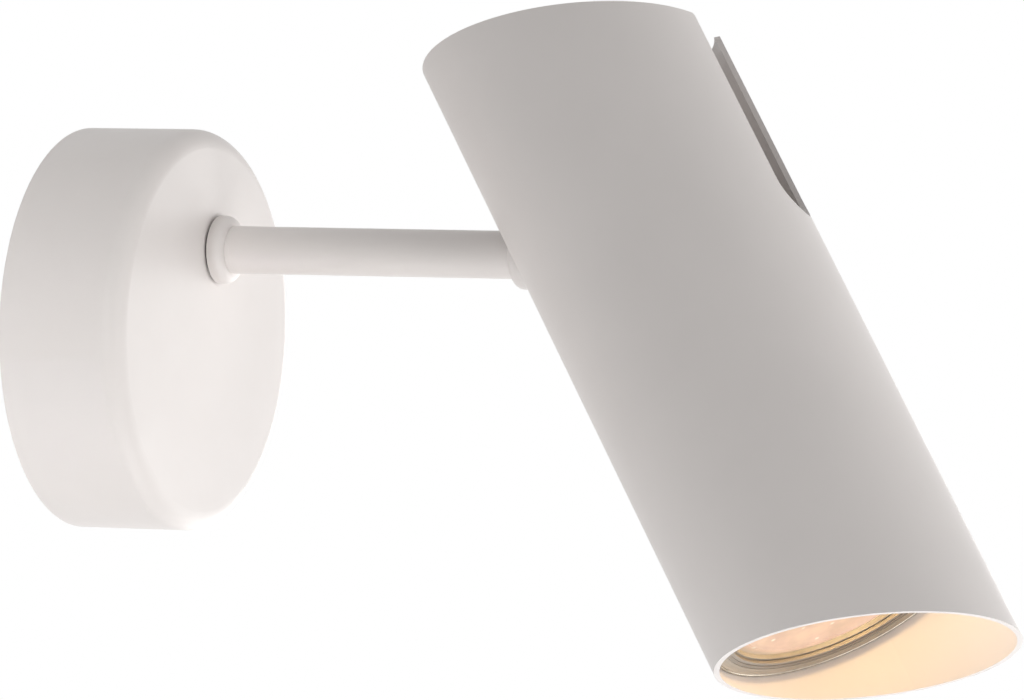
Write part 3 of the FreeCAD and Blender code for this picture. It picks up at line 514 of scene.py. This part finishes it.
def deselect():
    """Leaves edit mode and selects nothing."""
    if bpy.context.mode != "OBJECT":
        bpy.ops.object.mode_set(mode="OBJECT")
    bpy.ops.object.select_all(action="DESELECT")


def only(piece):
    """Makes a piece the one that is selected and active."""
    deselect()
    piece.select_set(True)
    bpy.context.view_layer.objects.active = piece


def settle(piece):
    """Applies a piece's place to its mesh, so that its object sits at the origin."""
    only(piece)
    bpy.ops.object.transform_apply(location=True, rotation=True, scale=True)


def select_faces(piece, wanted):
    """Selects the faces that wanted accepts, in edit mode."""
    bpy.ops.mesh.select_mode(type="FACE")
    bpy.ops.mesh.select_all(action="DESELECT")
    bpy.ops.object.mode_set(mode="OBJECT")
    for face in piece.data.polygons:
        face.select = wanted(face)
    bpy.ops.object.mode_set(mode="EDIT")


def hang_on_head(piece):
    """Tilts a piece modelled on an upright tube, about the pivot, and makes it part of the head."""
    piece.data.transform(HEAD_PLACE)
    piece.data.update()
    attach(piece, "head")


# ---- Operators ----

class SPOTLIGHT_OT_lacquer(bpy.types.Operator):
    """Powder-coats the canopy, arm and head tube"""
    bl_idname = "spotlight.lacquer"
    bl_label = "Lacquered Parts"

    def execute(self, context):
        coat = powder_coat(context.scene.spotlight_lacquer)
        finish_nodes(coat, "canopy", "arm_tube", "arm_collar", "knuckle", "head_tube")
        return {"FINISHED"}


class SPOTLIGHT_OT_sheet_metal(bpy.types.Operator):
    """Finishes the zinc-plated sheet parts"""
    bl_idname = "spotlight.sheet_metal"
    bl_label = "Plated Sheet"

    def execute(self, context):
        finish_nodes(zinc_plate(), "wall_plate", "pivot_bracket", "carrier_plate", "tube_lugs")
        return {"FINISHED"}


class SPOTLIGHT_OT_fasteners(bpy.types.Operator):
    """Finishes the plated screws, nuts, washers and the lamp's pins"""
    bl_idname = "spotlight.fasteners"
    bl_label = "Plated Fasteners"

    def execute(self, context):
        finish_nodes(
            plated_steel(), "stop_stud", "canopy_screw", "terminal_fixing_screws", "swivel_spring",
            "stop_washer", "knuckle_grub_screw", "pivot_screw", "pivot_spring_washer", "pivot_nut",
            "bracket_screws", "carrier_screws", "lampholder_screws", "lamp_pins")
        return {"FINISHED"}


class SPOTLIGHT_OT_brass(bpy.types.Operator):
    """Finishes the brass terminals, the arm's nut, the earth screw and the contacts"""
    bl_idname = "spotlight.brass"
    bl_label = "Brass Parts"

    def execute(self, context):
        finish_nodes(turned_brass(), "terminal_sleeves", "terminal_screws", "earth_screw",
                     "earth_washer", "arm_nut", "lampholder_contacts")
        return {"FINISHED"}


class SPOTLIGHT_OT_mouldings(bpy.types.Operator):
    """Finishes the plastic, rubber and ceramic parts"""
    bl_idname = "spotlight.mouldings"
    bl_label = "Mouldings"

    def execute(self, context):
        finish_nodes(moulded("black_nylon", roughness=0.5, grain=0.0005),
                     "arm_bush", "thrust_washer", "arm_end_sleeve", "friction_washers")
        finish_nodes(moulded("black_rubber", roughness=0.7, grain=0.0007),
                     "cable_grommet", "lead_grommet")
        finish_nodes(moulded("white_plastic", roughness=0.42, grain=0.0006), "terminal_block")
        finish_nodes(moulded("lead_insulation", roughness=0.55, grain=0.0004),
                     "terminal_leads", "arm_leads", "lamp_leads")
        finish_nodes(steatite(), "lampholder_body", "lampholder_cover")
        return {"FINISHED"}


class SPOTLIGHT_OT_ring(bpy.types.Operator):
    """Finishes the stepped ring and the wire that holds it"""
    bl_idname = "spotlight.ring"
    bl_label = "Front Ring"

    def execute(self, context):
        finish_nodes(satin_aluminium(), "front_ring")
        finish_nodes(spring_wire(), "snap_ring")
        return {"FINISHED"}


class SPOTLIGHT_OT_lamp(bpy.types.Operator):
    """Models the lamp's front glass, finishes the lamp and lights it"""
    bl_idname = "spotlight.lamp"
    bl_label = "Lamp"

    def execute(self, context):
        settings = context.scene.spotlight_lamp
        finish_nodes(moulded("lamp_shell", roughness=0.40, grain=0.0008), "lamp_body")
        finish_nodes(moulded("lamp_base", roughness=0.34, grain=0.0008), "lamp_base")
        glass = self.front_glass(settings)
        glass.data.materials.append(lit_glass(settings))
        hang_on_head(glass)
        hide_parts("lamp_lens")
        # The beam starts inside the lamp, so the lamp itself must not stop it.
        for piece in (glass, frame["nodes"]["lamp_body"], frame["nodes"]["lamp_base"]):
            piece.visible_shadow = False
        self.beam(context, settings)
        return {"FINISHED"}

    def front_glass(self, settings):
        """Round glass with a soft bevel and a fine step inside it, upright about the pivot."""
        deselect()
        thickness = LENS_BACK - LENS_FACE
        bpy.ops.mesh.primitive_cylinder_add(
            vertices=GLASS_SIDES, radius=LENS_RADIUS, depth=thickness,
            location=(0, 0, LENS_FACE + thickness / 2))
        glass = bpy.context.active_object
        glass.name = "front_glass"
        settle(glass)
        bpy.ops.object.mode_set(mode="EDIT")
        select_faces(glass, lambda face: face.normal.z < FACING_DOWN)
        bpy.ops.transform.translate(value=(0, 0, settings.bevel_height))
        bpy.ops.mesh.inset(thickness=settings.bevel_width, depth=settings.bevel_height)
        bpy.ops.mesh.inset(thickness=GLASS_LAND, depth=0.0)
        bpy.ops.mesh.inset(thickness=STEP_WIDTH, depth=-STEP_DEPTH)
        bpy.ops.mesh.inset(thickness=STEP_FLAT, depth=0.0)
        bpy.ops.object.mode_set(mode="OBJECT")
        soften = glass.modifiers.new("soft_edges", "BEVEL")
        soften.width = EDGE_ROUND
        soften.segments = EDGE_SEGMENTS
        soften.angle_limit = ROUNDED_ABOVE
        bpy.ops.object.modifier_apply(modifier=soften.name)
        bpy.ops.object.shade_smooth_by_angle(angle=SMOOTH_BELOW)
        return glass

    def beam(self, context, settings):
        """Warm disk of light behind the glass, shining down the tube."""
        data = bpy.data.lights.new("lamp_beam", "AREA")
        data.shape = "DISK"
        data.size = settings.source_size
        # Rays that leave the tube's wall meet the glass before the source, so only the light's
        # own sampling may count; weighing both leaves a sharp step on the wall.
        data.cycles.use_multiple_importance_sampling = False
        data.energy = settings.beam
        data.color = settings.beam_colour
        light = bpy.data.objects.new("lamp_beam", data)
        behind = Matrix.Translation((0, 0, LENS_FACE + settings.source_depth))
        light.matrix_world = HEAD_PLACE @ behind
        light.visible_camera = False
        context.scene.collection.objects.link(light)
        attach(light, "head")


def soft_light(name, power, place, aim=LAMP_MIDDLE, size=SOFT_BOX_SIZE, spread=math.pi):
    """Square soft box, aimed at the middle of the lamp unless told otherwise."""
    data = bpy.data.lights.new(name, "AREA")
    data.size = size
    data.spread = spread
    data.energy = power
    light = bpy.data.objects.new(name, data)
    light.location = place
    light.rotation_euler = (Vector(aim) - Vector(place)).to_track_quat("-Z", "Y").to_euler()
    light.visible_camera = False
    bpy.context.scene.collection.objects.link(light)


class SPOTLIGHT_OT_stage(bpy.types.Operator):
    """Lays the pale floor and sets the white surroundings and the soft lights"""
    bl_idname = "spotlight.stage"
    bl_label = "Stage and Lights"

    def execute(self, context):
        settings = context.scene.spotlight_stage
        deselect()
        bpy.ops.mesh.primitive_grid_add(
            x_subdivisions=FLOOR_CELLS, y_subdivisions=FLOOR_CELLS, size=settings.floor_size,
            location=(0, 0, settings.floor_height))
        floor = context.active_object
        floor.name = "floor"
        settle(floor)
        floor.data.materials.append(matte_floor(settings))
        self.surround(context, settings)
        for name, place in LIGHT_PLACES.items():
            soft_light(name, getattr(settings, name), place)
        soft_light("canopy_side", settings.canopy_side, CANOPY_LIGHT_PLACE, aim=CANOPY_LIGHT_AIM,
                   size=CANOPY_LIGHT_SIZE, spread=CANOPY_LIGHT_SPREAD)
        context.scene.view_settings.view_transform = "Standard"
        return {"FINISHED"}

    def surround(self, context, settings):
        """White where the camera, a gloss or glass looks; a softer level lights the object."""
        world = bpy.data.worlds.new("surroundings")
        context.scene.world = world
        world.use_nodes = True
        tree = world.node_tree
        tree.nodes.clear()
        heading = tree.nodes.new("ShaderNodeSeparateXYZ")
        tree.links.new(tree.nodes.new("ShaderNodeTexCoord").outputs["Generated"], heading.inputs[0])
        level = tree.nodes.new("ShaderNodeMapRange")
        level.inputs["From Min"].default_value = -HORIZON_BLUR
        level.inputs["From Max"].default_value = HORIZON_BLUR
        level.inputs["To Min"].default_value = settings.sky_below
        level.inputs["To Max"].default_value = settings.sky_above
        tree.links.new(heading.outputs["Z"], level.inputs["Value"])
        even = tree.nodes.new("ShaderNodeBackground")
        even.inputs["Color"].default_value = WHITE
        tree.links.new(level.outputs["Result"], even.inputs["Strength"])
        white = tree.nodes.new("ShaderNodeBackground")
        white.inputs["Color"].default_value = WHITE
        white.inputs["Strength"].default_value = 1.0
        mix = tree.nodes.new("ShaderNodeMixShader")
        tree.links.new(seen_directly(tree), mix.inputs["Fac"])
        tree.links.new(even.outputs[0], mix.inputs[1])
        tree.links.new(white.outputs[0], mix.inputs[2])
        tree.links.new(mix.outputs[0], tree.nodes.new("ShaderNodeOutputWorld").inputs["Surface"])


class SPOTLIGHT_OT_camera(bpy.types.Operator):
    """Places the camera at the photograph's viewing angle"""
    bl_idname = "spotlight.camera"
    bl_label = "Camera"

    def execute(self, context):
        settings = context.scene.spotlight_camera
        az, el, roll = settings.azimuth, settings.elevation, settings.roll
        back = Vector((math.sin(az) * math.cos(el), -math.cos(az) * math.cos(el), math.sin(el)))
        right = Vector((0, 0, 1)).cross(back).normalized()
        up = back.cross(right)
        across = right * math.cos(roll) + up * math.sin(roll)
        upward = up * math.cos(roll) - right * math.sin(roll)
        turn = Matrix((across, upward, back)).transposed().to_4x4()
        data = bpy.data.cameras.new("camera")
        data.sensor_fit = "HORIZONTAL"
        data.sensor_width = SENSOR_WIDTH
        data.lens = settings.lens
        data.clip_end = CAMERA_REACH
        camera = bpy.data.objects.new("camera", data)
        place = Vector(settings.aim) + back * settings.distance
        camera.matrix_world = Matrix.Translation(place) @ turn
        context.scene.collection.objects.link(camera)
        context.scene.camera = camera
        return {"FINISHED"}


class SPOTLIGHT_PT_panel(bpy.types.Panel):
    """Settings and steps of the wall spotlight"""
    bl_idname = "SPOTLIGHT_PT_panel"
    bl_label = "Spotlight"
    bl_space_type = "VIEW_3D"
    bl_region_type = "UI"
    bl_category = "Spotlight"

    def draw(self, context):
        for group in SETTINGS:
            box = self.layout.box()
            owner = getattr(context.scene, group)
            for prop in SETTINGS[group].__annotations__:
                box.prop(owner, prop)
        for operator in OPERATORS:
            self.layout.operator(operator.bl_idname)


SETTINGS = {
    "spotlight_lacquer": LacquerSettings,
    "spotlight_lamp": LampSettings,
    "spotlight_stage": StageSettings,
    "spotlight_camera": CameraSettings,
}

OPERATORS = (
    SPOTLIGHT_OT_camera,
    SPOTLIGHT_OT_lacquer,
    SPOTLIGHT_OT_sheet_metal,
    SPOTLIGHT_OT_fasteners,
    SPOTLIGHT_OT_brass,
    SPOTLIGHT_OT_mouldings,
    SPOTLIGHT_OT_ring,
    SPOTLIGHT_OT_lamp,
    SPOTLIGHT_OT_stage,
)


def register():
    for group, settings in SETTINGS.items():
        bpy.utils.register_class(settings)
        setattr(bpy.types.Scene, group, bpy.props.PointerProperty(type=settings))
    for cls in OPERATORS + (SPOTLIGHT_PT_panel,):
        bpy.utils.register_class(cls)


def unregister():
    for cls in reversed(OPERATORS + (SPOTLIGHT_PT_panel,)):
        bpy.utils.unregister_class(cls)
    for group, settings in SETTINGS.items():
        delattr(bpy.types.Scene, group)
        bpy.utils.unregister_class(settings)


def main():
    register()
    bpy.ops.spotlight.camera()
    bpy.ops.spotlight.lacquer()
    bpy.ops.spotlight.sheet_metal()
    bpy.ops.spotlight.fasteners()
    bpy.ops.spotlight.brass()
    bpy.ops.spotlight.mouldings()
    bpy.ops.spotlight.ring()
    bpy.ops.spotlight.lamp()
    bpy.ops.spotlight.stage()


if __name__ == "__main__":
    main()
